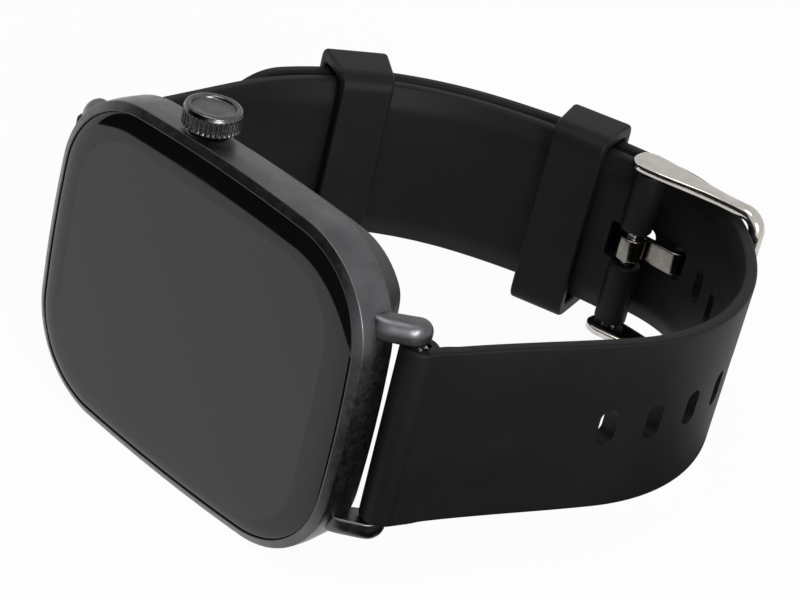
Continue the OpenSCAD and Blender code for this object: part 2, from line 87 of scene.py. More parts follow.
class Finish:
    """A procedural material: node() adds any node and links its inputs."""

    def __init__(self, name):
        self.material = bpy.data.materials.new(name)
        self.material.use_nodes = True
        self.tree = self.material.node_tree
        self.tree.nodes.clear()
        self.output = self.tree.nodes.new("ShaderNodeOutputMaterial")

    def node(self, kind, settings=None, *inputs, out=0, **named):
        """Adds a node: its settings first, then the values or links of its sockets."""
        made = self.tree.nodes.new(kind)
        for key, value in (settings or {}).items():
            setattr(made, key, value)
        sockets = list(enumerate(inputs)) + [(k.replace("_", " "), v) for k, v in named.items()]
        for key, value in sockets:
            if value is None:
                continue
            if isinstance(value, Value):
                self.tree.links.new(value.socket, made.inputs[key])
            else:
                made.inputs[key].default_value = value
        return Value(self, made.outputs[out])

    def place(self, axis=None):
        """Object coordinates in metres, or one axis of them in millimetres."""
        at = self.node("ShaderNodeTexCoord", out="Object")
        if axis is None:
            return at
        return self.node("ShaderNodeSeparateXYZ", None, at, out=axis) * 1000

    def noise(self, scale, detail=3.0, rough=0.55, stretch=None):
        """Noise of a given number of lumps a metre, from 0 to 1."""
        at = self.place()
        if stretch:
            at = self.node("ShaderNodeMapping", None, at, Scale=stretch)
        return self.node("ShaderNodeTexNoise", None, at, Scale=scale, Detail=detail,
                         Roughness=rough, out="Fac")

    def blend(self, factor, a, b):
        """Mixes two colours, each a tuple or a link."""
        pick = lambda c: c if isinstance(c, Value) else (*c, 1.0)
        made = self.tree.nodes.new("ShaderNodeMix")
        made.data_type = "RGBA"
        for socket, value in ((made.inputs[0], factor), (made.inputs[6], pick(a)),
                              (made.inputs[7], pick(b))):
            if isinstance(value, Value):
                self.tree.links.new(value.socket, socket)
            else:
                socket.default_value = value
        return Value(self, made.outputs[2])

    def bump(self, height, distance, strength=1.0):
        """A normal raised by a height from 0 to 1 over a distance in metres."""
        return self.node("ShaderNodeBump", None, Strength=strength, Distance=distance,
                         Height=height)

    def surface(self, color, roughness, metallic=0.0, normal=None, **fixed):
        """Closes the material with a Principled shader."""
        color = color if isinstance(color, Value) else (*color, 1.0)
        shader = self.node("ShaderNodeBsdfPrincipled", None, Base_Color=color,
                           Roughness=roughness, Metallic=metallic, Normal=normal, **fixed)
        self.tree.links.new(shader.socket, self.output.inputs["Surface"])
        return self.material


def rounded(corners, radius, steps=7):
    """A closed polygon with a parabola at each corner: (1-t)^2 a + 2 t (1-t) p + t^2 b, where p
    is the corner and a and b lie a radius back along its two edges."""
    p = np.asarray(corners, float)
    r = np.broadcast_to(np.asarray(radius, float), len(p))[:, None]
    back, ahead = np.roll(p, 1, 0) - p, np.roll(p, -1, 0) - p
    lb, la = (np.linalg.norm(v, axis=1, keepdims=True) for v in (back, ahead))
    r = np.minimum(r, 0.49 * np.minimum(lb, la))
    a, b = (p + back / lb * r)[:, None], (p + ahead / la * r)[:, None]
    t = np.linspace(0, 1, steps)[None, :, None]
    return ((1 - t) ** 2 * a + 2 * t * (1 - t) * p[:, None] + t ** 2 * b).reshape(-1, 2)


def spaced(loop, count):
    """A closed loop of points resampled at equal steps of its length."""
    closed = np.vstack([loop, loop[:1]])
    run = np.concatenate([[0], np.cumsum(np.linalg.norm(np.diff(closed, axis=0), axis=1))])
    s = np.linspace(0, run[-1], count, endpoint=False)
    return np.stack([np.interp(s, run, closed[:, k]) for k in range(closed.shape[1])], 1)


def outward(loop):
    """Unit normals of a closed loop that runs counter-clockwise: its tangent turned right."""
    t = np.roll(loop, -1, 0) - np.roll(loop, 1, 0)
    n = np.stack([t[:, 1], -t[:, 0]], 1)
    return n / np.maximum(np.linalg.norm(n, axis=1, keepdims=True), 1e-12)


def quads(rows, cols, wrap_rows, wrap_cols):
    """Corner numbers of the faces between neighbouring rows and columns of a grid."""
    i = np.arange(rows if wrap_rows else rows - 1)[:, None]
    j = np.arange(cols if wrap_cols else cols - 1)[None, :]
    a, b = i * cols + j, i * cols + (j + 1) % cols
    c, d = (i + 1) % rows * cols + (j + 1) % cols, (i + 1) % rows * cols + j
    return np.stack([a, b, c, d], -1).reshape(-1, 4)


def build(name, grids, finish, body, replaces=(), sharp=40):
    """One piece from grids of points in millimetres, each with its wrap along rows and columns.
    Doubles are merged, which closes seams and poles, and normals are made to point out."""
    points, faces, start = [], [], 0
    for grid, wrap_rows, wrap_cols in grids:
        rows, cols = grid.shape[:2]
        points.append(grid.reshape(-1, 3) * mm)
        faces.append(quads(rows, cols, wrap_rows, wrap_cols) + start)
        start += rows * cols
    mesh = bpy.data.meshes.new(name)
    mesh.from_pydata(np.vstack(points), [], np.vstack(faces).tolist())
    work = bmesh.new()
    work.from_mesh(mesh)
    bmesh.ops.remove_doubles(work, verts=work.verts, dist=MERGE)
    bmesh.ops.dissolve_degenerate(work, edges=work.edges, dist=SLIVER)
    bmesh.ops.recalc_face_normals(work, faces=work.faces)
    work.to_mesh(mesh)
    work.free()
    return put(name, mesh, finish, body, replaces, sharp)


def put(name, mesh, finish, body, replaces=(), sharp=40):
    """Puts a finished mesh in the scene on its body, in place of its CAD solids."""
    mesh.shade_smooth()
    mesh.set_sharp_from_angle(angle=math.radians(sharp))
    mesh.materials.clear()
    mesh.materials.append(finish)
    piece = bpy.data.objects.new(name, mesh)
    scene.collection.objects.link(piece)
    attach(piece, body)
    if replaces:
        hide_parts(*replaces)
    return piece


def case_outline(count=360):
    """The case's outline in X and Z with its normals: four corner arcs and four sides that bow
    outwards, each an arc whose centre is chosen so that neighbours share a tangent."""
    lean = math.sin(LEAN), math.cos(LEAN)
    side = np.linalg.solve(
        [[lean[1] - 1, -lean[0]], [lean[0], 1 - lean[1]]],
        [CORNER * (lean[1] - lean[0]) - HALF_L, HALF_W + CORNER * (lean[0] - lean[1])])
    corner_x = HALF_L - side[0] + (side[0] - CORNER) * lean[1]
    corner_z = HALF_W - side[1] + (side[1] - CORNER) * lean[1]
    turn = np.linspace(0, 2 * np.pi, count, endpoint=False)
    n = np.stack([np.cos(turn), np.sin(turn)], 1)
    fold = np.arctan2(abs(n[:, 1]), abs(n[:, 0]))
    end, flank = fold < LEAN, fold > np.pi / 2 - LEAN
    radius = np.where(end, side[0], np.where(flank, side[1], CORNER))
    cx = np.where(end, HALF_L - side[0], np.where(flank, 0, corner_x)) * np.sign(n[:, 0])
    cz = np.where(flank, HALF_W - side[1], np.where(end, 0, corner_z)) * np.sign(n[:, 1])
    loop = np.stack([cx, cz], 1) + radius[:, None] * n
    even = spaced(loop, count)
    return even, outward(even)


def around(outline, normals, profile):
    """Rows of points round an outline: each row is the outline drawn in by the profile's first
    value along its normals, at the height in its second value."""
    inset, height = np.asarray(profile, float).T
    flat = outline[None] - inset[:, None, None] * normals[None]
    y = np.broadcast_to(height[:, None], flat.shape[:2])
    return np.stack([flat[..., 0], y, flat[..., 1]], -1)


def lid(ring, rings=6):
    """Rows that close a ring towards its middle: ring + (middle - ring) * k."""
    k = np.linspace(0, 1, rings)[:, None, None]
    return ring[None] + (ring.mean(0)[None, None] - ring[None]) * k


def lug(side, end):
    """One lug: a plan that slopes back to a round tip, carried from its flat inner face to a
    half-round outer edge. There each point p is drawn to the nearest point c of the plan's
    spine: c + (p - c) * (1 - 0.72 (1 - cos a)), while z rises with sin a."""
    plan = spaced(rounded([(22.4, -8.9), (24.1, -8.3), (27.0, -5.75), (27.0, -3.2), (25.1, -2.8),
                           (22.4, -6.2)], [0.3, 0.8, 1.5, 1.1, 1.0, 0.3], 9), 120)
    foot, tip = np.array([22.6, -7.4]), np.array([25.75, -4.6])
    reach = np.clip((plan - foot) @ (tip - foot) / ((tip - foot) @ (tip - foot)), 0, 1)
    spine = foot + reach[:, None] * (tip - foot)
    a = np.linspace(0, np.pi / 2, 12)
    small, big = 0.25, 1.5
    k = np.concatenate([1 - 0.12 * (1 - np.sin(a)), 1 - 0.72 * (1 - np.cos(a))])[:, None, None]
    z = np.concatenate([LUG_IN + small * (1 - np.cos(a)), LUG_OUT - big + big * np.sin(a)])
    flat = spine[None] + (plan - spine)[None] * k
    rows = np.concatenate([flat, np.broadcast_to(z[:, None, None], flat.shape[:2] + (1,))], -1)
    rows = np.concatenate([lid(rows[0])[::-1], rows[1:-1], lid(rows[-1])])
    return rows * np.array([end, 1, side])


metal = Finish("case_metal")
grain = metal.noise(9000, 2, 0.7)
cloud = metal.noise(260, 3)
worn = metal.noise(1500, 4, 0.6)
case_metal = metal.surface(
    metal.blend(cloud.ramp(0.35, 0.7), (0.098, 0.099, 0.105), (0.128, 0.129, 0.135)),
    worn.ramp(0.3, 0.75, 0.30, 0.42), 1.0, metal.bump(grain, 0.00002, 0.35))

outline, normals = case_outline()
edge = rounded([(1.9, -9.2), (1.12, -9.2), (1.12, RIM_Y + 0.04), (1.0, RIM_Y), (0.04, BAND_Y),
                (-0.07, -8.6), (0.12, REAR_Y + 0.35), (0.42, REAR_Y), (1.9, REAR_Y)],
               [0.1, 0.1, 0.05, 0.10, 0.10, 1.5, 0.5, 0.3, 0.1], 7)
ring = around(outline, normals, edge)
boss_turn = np.linspace(0, 2 * np.pi, 64, endpoint=False)
# The collar behind the crown: a skin open at both ends, which the band and the crown hide.
boss = np.array([[r, z] for r, z in ((2.1, 19.0), (2.85, 19.3), (2.62, 19.75), (2.5, 20.02),
                                    (2.4, 20.08), (1.0, 20.08))])
crown_x, crown_y = -5.5, -7.43


def lathe(profile, x, y, turn):
    """A profile of radius and height turned about a line along Z through x and y."""
    r, z = np.asarray(profile, float).T
    return np.stack([x + r[:, None] * np.cos(turn), y + r[:, None] * np.sin(turn),
                     np.broadcast_to(z[:, None], (len(r), len(turn)))], -1)


lugs = [(lug(side, end), False, True) for side in (-1, 1) for end in (-1, 1)]
collar = (lathe(boss, crown_x, crown_y, boss_turn), False, True)
build("band_and_lugs", [(ring, True, True), collar, *lugs], case_metal, "case",
      ("case_band",), 50)

# ---------------------------------------------------------------- cover glass
# Black-bordered cover glass with a curved edge, glued into the band over the display. The
# display's area shows a little lighter than the printed border round it.

glass = Finish("glass")
gx, gz = glass.place("X"), glass.place("Z")


def inside_box(x, z, left, right, low, high, radius):
    """Signed distance to a rounded rectangle, negative inside it."""
    qx = (x - (left + right) / 2).abs() - ((right - left) / 2 - radius)
    qz = (z - (low + high) / 2).abs() - ((high - low) / 2 - radius)
    ox, oz = qx.max(0), qz.max(0)
    return (ox * ox + oz * oz) ** 0.5 + qx.max(qz).min(0) - radius


screen = inside_box(gx, gz, -20.2, 19.5, -16.9, 15.3, 8.0).ramp(-0.06, 0.06)
smear = glass.noise(120, 3)
glass_finish = glass.surface(
    glass.blend(screen, (0.0125, 0.013, 0.0118), (0.0035, 0.0035, 0.0038)),
    smear.ramp(0.35, 0.75, 0.05, 0.085), 0.0, IOR=1.45)
a = np.linspace(0, 1, 16)
pane = np.stack([1.17 + 3.4 * a ** 1.25, -10.55 - 0.45 * (1 - (1 - a) ** 2.6)], 1)
rows = around(outline, normals, np.vstack([[(1.6, -9.7), (1.17, -9.7)], pane]))
build("glass_pane", [(np.concatenate([lid(rows[0])[::-1], rows[1:-1], lid(rows[-1], 12)]),
                       False, True)], glass_finish, "case", ("cover_glass",), 40)

# ---------------------------------------------------------------- back of the case
# The back: a black moulded shell held by four screws, with a raised tinted window over the
# heart-rate sensor and two gilt charging contacts.

shell = Finish("cover_plastic")
spark = shell.noise(14000, 2, 0.7)
shell_finish = shell.surface(
    shell.blend(shell.noise(300, 3).ramp(0.3, 0.7), (0.0095, 0.0095, 0.0105),
                (0.0145, 0.0145, 0.0155)),
    spark.ramp(0.3, 0.7, 0.42, 0.58), 0.0, shell.bump(spark, 0.00002, 0.6))
back = rounded([(1.9, -6.0), (0.9, -6.0), (1.15, -5.4), (3.2, -0.72), (5.5, -0.7), (7.4, -0.7)],
               [0.05, 0.1, 0.5, 1.1, 0.2, 0.2], 7)
steeper = 1 + 0.38 * np.clip((abs(normals[:, :1]) - 0.8) / 0.2, 0, 1) ** 2
rows = around(outline, normals * steeper, back[7:-1])
rows = np.concatenate([lid(rows[0])[::-1], rows[1:-1], lid(rows[-1], 8)])
build("back_shell", [(rows, False, True)], shell_finish, "case", ("back_cover",),
      40)


def lathe_y(profile, x, z, turn):
    """A profile of radius and depth turned about a line along Y through x and z."""
    r, y = np.asarray(profile, float).T
    return np.stack([x + r[:, None] * np.cos(turn),
                     np.broadcast_to(y[:, None], (len(r), len(turn))),
                     z + r[:, None] * np.sin(turn)], -1)


window = Finish("sensor_glass")
wx, wz = window.place("X"), window.place("Z")
reach = (wx * wx + wz * wz) ** 0.5
eye = ((wx.abs() - 3.6).abs().max(wz.abs())).min((wz.abs() - 3.6).abs().max(wx.abs()))
window_finish = window.surface(
    window.blend(eye.ramp(0.9, 1.25), (0.03, 0.075, 0.045),
                 window.blend(reach.ramp(6.1, 6.3), (0.006, 0.006, 0.008), (0.018, 0.018, 0.02))),
    window.noise(200, 3).ramp(0.3, 0.7, 0.05, 0.10), 0.0, IOR=1.5)
turn = np.linspace(0, 2 * np.pi, 128, endpoint=False)
a = np.linspace(0, np.pi / 2, 8)
dome = np.vstack([[(0, -1.15), (8.9, -1.15), (9.0, -1.1), (9.0, -0.5)],
                  np.stack([8.6 + 0.4 * np.cos(a), -0.5 + 0.36 * np.sin(a)], 1),
                  [(7.2, -0.04), (4, -0.01), (0, 0)]])
build("window_dome", [(lathe_y(dome, 0, 0, turn), False, True)], window_finish, "case",
      ("sensor_window",), 40)

gilt = Finish("contact")
gilt_finish = gilt.surface(
    gilt.blend(gilt.noise(1500, 3).ramp(0.3, 0.7), (0.60, 0.42, 0.17), (0.74, 0.55, 0.26)),
    gilt.noise(4000, 2).ramp(0.3, 0.7, 0.22, 0.38), 1.0)
pin = [(0, -1.8), (0.95, -1.8), (0.95, -0.68), (0.88, -0.61), (0.5, -0.6), (0, -0.6)]
small_turn = np.linspace(0, 2 * np.pi, 40, endpoint=False)
build("contact_pins", [(lathe_y(pin, x, -12.2, small_turn), False, True) for x in (-3, 3)],
      gilt_finish, "case", ("charging_contacts",), 40)

steel = Finish("screw")
SCREW_X, SCREW_Z = 17.3, 12.9
sx, sz = steel.place("X").abs() - SCREW_X, steel.place("Z").abs() - SCREW_Z
# No slot is cut in the heads. A near-black diagonal line across each head is painted shade standing
# for the slot's depth, and the bump only sinks it a little.
painted_slot_shade = (sz - sx).abs().ramp(0.17, 0.24) * 0.97 + 0.03
screw_finish = steel.surface(
    steel.blend(painted_slot_shade, (0.01, 0.01, 0.01), (0.34, 0.34, 0.36)),
    steel.noise(3000, 3).ramp(0.3, 0.7, 0.25, 0.42), 1.0, steel.bump(painted_slot_shade, 0.0002, 0.6))
head = [(0, -3), (0.5, -3), (0.55, -1.1), (1.05, -1.1), (1.1, -0.75), (1.0, -0.64), (0.6, -0.6),
        (0, -0.59)]
build("screw_heads", [(lathe_y(head, x, z, small_turn), False, True)
                      for x in (-SCREW_X, SCREW_X) for z in (-SCREW_Z, SCREW_Z)],
      screw_finish, "case", ("back_screws",), 40)

# ---------------------------------------------------------------- crown
# The crown: turned aluminium, anodised like the band, with a straight knurl, a polished rim
# and a sunken disc. It is pressed on a steel stem and both turns and presses.

CROWN_LOW, CROWN_TOP, CROWN_R, TEETH = 20.65, 23.15, 3.2, 36


def knurled(turn):
    """Rows from the underside to the middle of the sunken disc. In the knurl the radius is
    R - depth * (0.5 - 0.5 cos(teeth * angle))^1.5, and depth fades at both ends of it."""
    side = np.linspace(0, 1, 14)
    fade = np.clip(np.minimum(side, 1 - side) * 9, 0, 1) ** 0.6
    groove = (0.5 - 0.5 * np.cos(TEETH * turn)) ** 1.5
    radius = CROWN_R - 0.17 * fade[:, None] * groove[None]
    z = CROWN_LOW + 0.22 + side * 1.72
    a = np.linspace(0, np.pi, 14)
    rim = np.stack([2.74 + 0.38 * np.cos(a), CROWN_TOP - 0.33 + 0.33 * np.sin(a)], 1)
    low = [(0.0, 20.7), (2.0, 20.68), (2.85, CROWN_LOW + 0.03), (3.08, CROWN_LOW + 0.1)]
    top = np.vstack([[(3.17, CROWN_TOP - 0.5)], rim,
                     [(2.26, CROWN_TOP - 0.42), (1.4, CROWN_TOP - 0.38),
                      (0.6, CROWN_TOP - 0.36), (0, CROWN_TOP - 0.36)]])
    wall = np.stack([crown_x + radius * np.cos(turn), crown_y + radius * np.sin(turn),
                     np.broadcast_to(z[:, None], radius.shape)], -1)
    return np.concatenate([lathe(low, crown_x, crown_y, turn), wall,
                           lathe(top, crown_x, crown_y, turn)])


cap = Finish("crown_metal")
height = cap.place("Z")
spin = cap.noise(5200, 2, 0.6)
disc = height.ramp(CROWN_TOP - 0.39, CROWN_TOP - 0.30)
cap_finish = cap.surface(
    cap.blend(cap.noise(900, 3).ramp(0.3, 0.7), (0.085, 0.086, 0.088), (0.118, 0.119, 0.121)),
    spin.ramp(0.3, 0.7, 0.24, 0.36) - disc * 0.06, 1.0, cap.bump(spin, 0.00002, 0.3))
teeth_turn = np.linspace(0, 2 * np.pi, TEETH * 12, endpoint=False)
build("knurled_crown", [(knurled(teeth_turn), False, True)], cap_finish, "crown",
      ("crown_cap",), 60)

# ---------------------------------------------------------------- strap
# The two halves of the strap: black silicone, moulded, dry and satin. Each wraps a spring bar
# at its end; the long half carries the row of buckle holes and a round tail.

BAR_X, BAR_Y, TUBE_R, THICK = 26.2, -4.3, 2.1, 2.4
SINK, GAP = 0.06, 0.15
TAIL_R, FLAT_R, BEND_R, LONG_R = 34.0, 65.0, 14.0, 31.0
OFF = GAP + THICK / 2
HOLE_L, HOLE_W, PITCH, HOLES, TANG_HOLE = 4.4, 2.3, 5.85, 14, 9
BORE_R, TUBE_END, PIN_R = 1.1, 10.7, 2.0


def at(centre, radius, heading):
    """A point of a clockwise arc: centre + r (-sin h, cos h) at heading h in degrees."""
    h = np.radians(heading)
    return np.stack([centre[0] - radius * np.sin(h), centre[1] + radius * np.cos(h)], -1)


tail_c = np.array([TAIL_R - GAP - BAR_X - TUBE_R + SINK, 18.4])
flat_c = at(tail_c, TAIL_R - FLAT_R, 30)
bend_c = at(flat_c, FLAT_R + OFF - BEND_R, 9)
long_c = at(bend_c, BEND_R - LONG_R, -30)
flush = TUBE_R - THICK / 2 - SINK
toward = long_c - np.array([BAR_X, BAR_Y])
line_turn = math.degrees(math.atan2(toward[1], toward[0])
                         - math.asin((LONG_R - flush) / np.linalg.norm(toward)))
line_len = math.sqrt(toward @ toward - (LONG_R - flush) ** 2)


def path(pieces, step=0.6):
    """Points, outward angles and run of a path made of arcs and straight ends. A piece is
    (centre, radius, first heading, last heading), or (point, point, heading) for a line."""
    spots, angles = [], []
    for p in pieces:
        if len(p) == 4:
            centre, radius, first, last = p
            h = np.linspace(first, last, max(3, int(abs(np.radians(last - first)) * radius / step)))
            spots.append(at(centre, radius, h))
            angles.append(h + 90)
        else:
            k = np.linspace(0, 1, max(3, int(np.linalg.norm(p[1] - p[0]) / step)))[:, None]
            spots.append(p[0] + (p[1] - p[0]) * k)
            angles.append(np.full(len(k), p[2] + 90.0))
    spots, angles = np.concatenate(spots), np.concatenate(angles)
    run = np.concatenate([[0], np.cumsum(np.linalg.norm(np.diff(spots, axis=0), axis=1))])
    keep = np.concatenate([[True], np.diff(run) > 1e-6])
    return spots[keep], np.radians(angles[keep]), run[keep]


def strap_skin(spots, angles, half, thick=THICK):
    """A strap's closed skin: at each station a flat outer face, round edges and an inner face
    bevelled over 2.6 mm. The section is scaled to the half width given for the station."""
    t = thick / 2
    w = 10.7
    section = rounded([(-t, 2.6 - w), (-t, w - 2.6), (1.05 - t, w), (t, w), (t, -w),
                       (1.05 - t, -w)], [0.9, 0.9, 0.35, 0.35, 0.35, 0.35], 7)
    section = np.vstack([section, section[:1]])
    cut = []
    for a, b in zip(section[:-1], section[1:]):
        n = max(1, int(np.linalg.norm(b - a) / 1.2))
        cut.append(a + (b - a) * np.linspace(0, 1, n, endpoint=False)[:, None])
    section = np.vstack(cut)
    d, z = section[:, 0][None], section[:, 1][None]
    shrink = half[:, None] / w
    lean = np.sign(z) * np.maximum(np.abs(z) - (w - half[:, None]), 0)
    z = np.where(shrink > 0.85, lean, z * shrink)
    grid = np.stack([spots[:, :1] + d * np.cos(angles)[:, None],
                     spots[:, 1:] + d * np.sin(angles)[:, None], z], -1)
    return np.concatenate([lid(grid[0], 4)[::-1], grid[1:-1], lid(grid[-1], 4)])


def tube(x, y, outer, inner, low, high):
    """A moulded tube round a spring bar, with rounded ends."""
    loop = rounded([(inner, low), (outer, low), (outer, high), (inner, high)],
                   [0.1, 0.35, 0.35, 0.1], 6)
    return lathe(loop, x, y, np.linspace(0, 2 * np.pi, 72, endpoint=False))


rubber = Finish("silicone")
fine = rubber.noise(11000, 2, 0.65)
dust = rubber.noise(2600, 4, 0.75).ramp(0.66, 0.78)
soft = rubber.noise(130, 3)
rubber_color = rubber.blend(soft.ramp(0.3, 0.72), (0.0044, 0.0045, 0.0048),
                            (0.0064, 0.0065, 0.0069))
silicone = rubber.surface(
    rubber.blend(dust * 0.5, rubber_color, (0.010, 0.010, 0.0105)),
    fine.ramp(0.25, 0.75, 0.46, 0.60), 0.0, rubber.bump(fine, 0.000025, 0.5),
    Specular_IOR_Level=0.16)

out_turn = math.radians(line_turn - 90)
line_top = long_c + LONG_R * np.array([math.cos(out_turn), math.sin(out_turn)])
line_dir = np.array([math.cos(math.radians(line_turn)), math.sin(math.radians(line_turn))])
TIP_LEN, TIP_AT = 10.3, 75.0
long_arcs = [(long_c, LONG_R, line_turn - 180, -30), (bend_c, BEND_R, -30, 9),
             (flat_c, FLAT_R + OFF, 9, 30), (tail_c, TAIL_R + OFF, 30, TIP_AT),
             (tail_c, TAIL_R + OFF, TIP_AT, TIP_AT + math.degrees(TIP_LEN / (TAIL_R + OFF)))]
spots, angles, run = path([(line_top - line_len * line_dir, line_top, line_turn - 180), *long_arcs])
tip_run = run[-1] - TIP_LEN
sag = np.clip(run / (line_len + 38), 0, 1)
BULGE = 1.8
spots = spots + BULGE * (np.sin(np.pi * sag) ** 2)[:, None] * np.stack(
    [np.cos(angles), np.sin(angles)], 1)


def width(run, length):
    """Half the strap's width: a little wider over the first millimetres at the case, then an
    even taper towards the far end."""
    k = np.clip((run - 2.6) / 1.6, 0, 1)
    return 10.78 - 0.13 * k * k * (3 - 2 * k) - 0.35 * np.clip(run / length, 0, 1)


half = width(run, run[-1])
into = np.clip((run - tip_run) / TIP_LEN, 0, 0.9995)
half = np.where(run > tip_run, half * np.sqrt(1 - into ** 2), half)


def along(s):
    """Place and outward angle on the long half at a distance from the start of its arcs."""
    s = np.asarray(s) + line_len
    return (np.stack([np.interp(s, run, spots[:, k]) for k in (0, 1)], -1),
            np.interp(s, run, np.unwrap(angles)))


tang_s = math.radians(-30 - (line_turn - 180)) * LONG_R + math.radians(17.3) * BEND_R
hole_spots, hole_angles = along(tang_s + (np.arange(1, HOLES + 1) - TANG_HOLE) * PITCH)


def slots(spots, angles, depth=2.0):
    """Closed slot-shaped plugs across the strap, one at each place, to cut its holes with."""
    a = np.linspace(0, 2 * np.pi, 40, endpoint=False)
    r = HOLE_W / 2
    z = r * np.cos(a) + np.sign(np.cos(a)) * (HOLE_L - HOLE_W) / 2
    t = r * np.sin(a)
    plugs = []
    for spot, angle in zip(spots, angles):
        out = np.array([math.cos(angle), math.sin(angle)])
        go = np.array([-out[1], out[0]])
        rows = [np.column_stack([spot + out * d + t[:, None] * go, z]) for d in (-depth, depth)]
        plugs.append((np.concatenate([lid(rows[0], 2)[::-1], lid(rows[1], 2)]), False, True))
    return plugs


def cut_out(piece, cutter):
    """Takes the cutter's shape out of a piece and removes the cutter."""
    tool = piece.modifiers.new("holes", "BOOLEAN")
    tool.operation, tool.object, tool.solver = "DIFFERENCE", cutter, "EXACT"
    bpy.context.view_layer.update()
    graph = bpy.context.evaluated_depsgraph_get()
    done = bpy.data.meshes.new_from_object(piece.evaluated_get(graph))
    piece.modifiers.clear()
    piece.data = done
    bpy.data.objects.remove(cutter)
    return done


def add_grids(mesh, *grids):
    """Adds closed grids of points in millimetres to a finished mesh."""
    work = bmesh.new()
    for grid in grids:
        extra = bpy.data.meshes.new("extra")
        rows, cols = grid.shape[:2]
        extra.from_pydata(grid.reshape(-1, 3) * mm, [], quads(rows, cols, True, True).tolist())
        work.from_mesh(extra)
    bmesh.ops.recalc_face_normals(work, faces=work.faces)
    work.from_mesh(mesh)
    work.to_mesh(mesh)
    work.free()
    mesh.shade_smooth()
    mesh.set_sharp_from_angle(angle=math.radians(35))


strap_long = build("holed_strap", [(strap_skin(spots, angles, half), False, True)], silicone,
                   "strap_loop", (), 35)
cutter = build("hole_plugs", slots(hole_spots, hole_angles), silicone, "strap_loop")
add_grids(cut_out(strap_long, cutter), tube(BAR_X, BAR_Y, TUBE_R, BORE_R, -TUBE_END, TUBE_END))
strap_long.parent = None
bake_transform(strap_long)
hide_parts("strap_long")

pin_r = FLAT_R - OFF + THICK / 2 - PIN_R - SINK
PIN_AT = 10.2
pin = at(flat_c, pin_r, PIN_AT)
spots, angles, run = path([
    (np.array([-BAR_X - flush, BAR_Y]), np.array([-BAR_X - flush, 18.4]), 90.0),
    (tail_c, TAIL_R - OFF, 90, 30), (flat_c, FLAT_R - OFF, 30, PIN_AT)])
short_skin = strap_skin(spots, angles, width(run, run[-1]))
strap_short = build("notched_strap", [(short_skin, False, True)], silicone, "strap_loop", (),
                    35)
go, out = (np.array([math.cos(math.radians(a)), math.sin(math.radians(a))])
           for a in (PIN_AT, PIN_AT + 90))
square = rounded([(-3.1, -2.4), (4, -2.4), (4, 2.4), (-3.1, 2.4)], [0.6, 0.1, 0.1, 0.6], 5)
rows = [np.column_stack([pin + out * d + square[:, :1] * go, square[:, 1]]) for d in (-5, 5)]
plug = np.concatenate([lid(rows[0], 2)[::-1], lid(rows[1], 2)])
notch = build("notch_plug", [(plug, False, True)], silicone, "strap_loop")
add_grids(cut_out(strap_short, notch), tube(-BAR_X, BAR_Y, TUBE_R, BORE_R, -TUBE_END, TUBE_END),
          tube(pin[0], pin[1], PIN_R, BORE_R, 2.4, 10.4),
          tube(pin[0], pin[1], PIN_R, BORE_R, -10.4, -2.4))
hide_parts("strap_short")

# ---------------------------------------------------------------- keepers
# Two silicone bands that hold the long half's tail down on the short half. Each is moulded in
# one with rounded edges, and slides along the strap.


def keeper(name, centre, radius, heading, finish):
    """A closed band: inner and outer loops of the same count give each wall, and its section
    is a rounded rectangle carried round them, bent to the strap's arc."""
    near, far = radius - OFF - THICK / 2 - 0.3, radius + OFF + THICK / 2 + 0.3
    inner = rounded([(near, -11.1), (far, -11.1), (far, 10.85), (near, 10.85)], 0.8, 14)
    outer = rounded([(near - 1.4, -12.9), (far + 1.4, -12.9), (far + 1.4, 12.35),
                     (near - 1.4, 12.35)], [2.3, 1.4, 1.4, 2.3], 14)
    cross = rounded([(-1, -3.7), (1, -3.7), (1, 3.7), (-1, 3.7)], 0.5, 7)
    k, s = cross[:, 0][None, :], cross[:, 1][None, :]
    mid, wall = (inner + outer) / 2, (outer - inner) / 2
    r = mid[:, :1] + wall[:, :1] * k
    z = mid[:, 1:] + wall[:, 1:] * k
    h = math.radians(heading) + s / radius
    grid = np.stack([centre[0] - r * np.sin(h), centre[1] + r * np.cos(h), z], -1)
    build(name + "_loop", [(grid, True, True)], finish, name, (name,), 60)


keeper("keeper_front", tail_c, TAIL_R, 59.3, silicone)
keeper("keeper_rear", flat_c, FLAT_R, 19.0, silicone)

# ---------------------------------------------------------------- buckle
# The buckle: polished stainless steel. Two broad sides narrow in a soft S to a round outer
# bar, and a flat tang is curled round the spring bar and lies on the outer bar.

BUCKLE_L, RAIL_Z, TILT = 15.3, 11.45, math.radians(7.4)
BAR_V = -0.3
WIDE_H, BAR_H = 2.45, 1.05


def to_buckle(u, v, z):
    """Turns buckle measures, along it and outwards, into the shared frame."""
    return np.stack([pin[0] + u * np.cos(TILT) - v * np.sin(TILT),
                     pin[1] + u * np.sin(TILT) + v * np.cos(TILT), z + 0 * u], -1)


